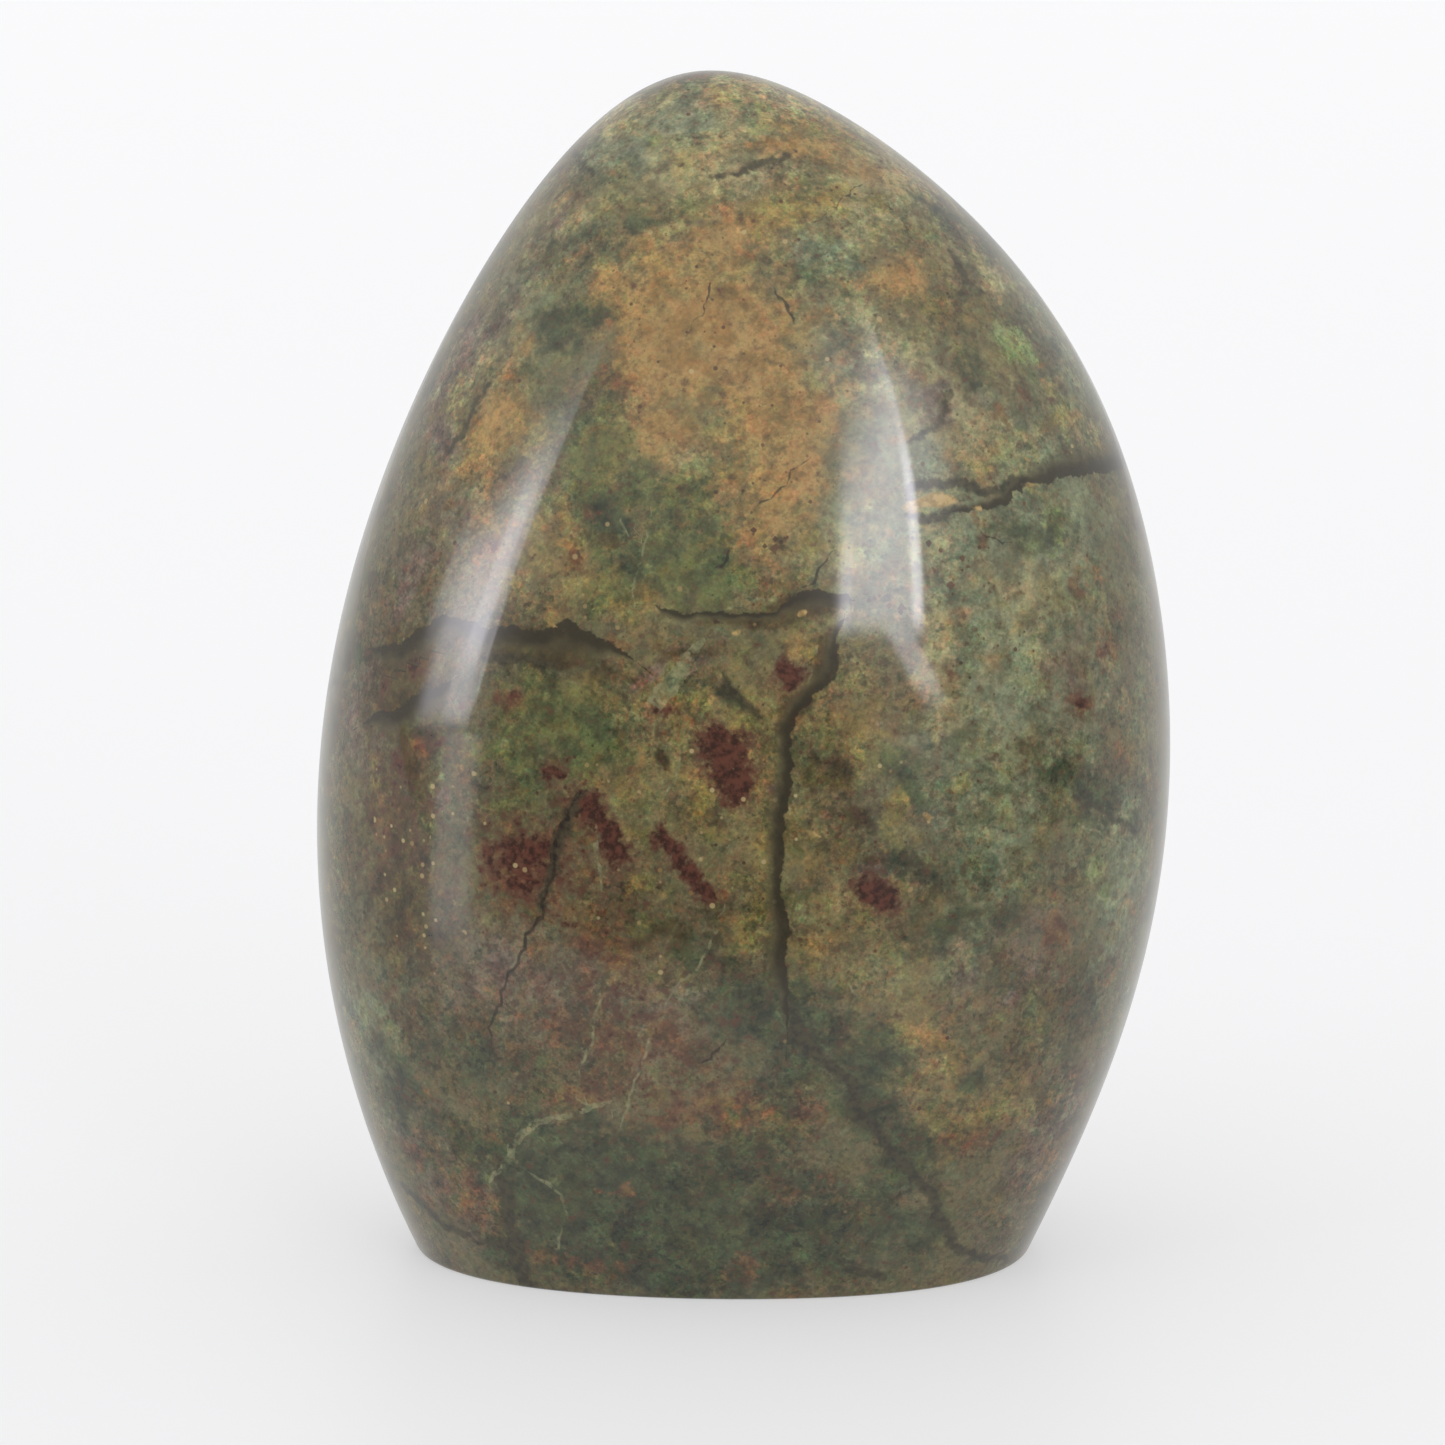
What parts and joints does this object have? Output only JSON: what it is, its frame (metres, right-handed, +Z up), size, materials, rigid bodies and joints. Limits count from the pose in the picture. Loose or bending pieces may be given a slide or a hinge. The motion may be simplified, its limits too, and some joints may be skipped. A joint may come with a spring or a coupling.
{
  "type": "chrysoprase freeform",
  "caption": "Polished freeform of mottled green and brown chrysoprase, a tall rounded pebble sawn flat underneath so that it stands by itself.",
  "frame": {"origin": "middle of the stone's box, on its flat sawn base", "axes": "+Z up to the rounded top, +X to the right of the pictured face, +Y from that face to the back"},
  "size_m": [0.0866, 0.0629, 0.12],
  "materials": {
    "polished_chrysoprase": "polished"
  },
  "bodies": {
    "root": {"stone": "polished_chrysoprase"}
  },
  "joints": []
}
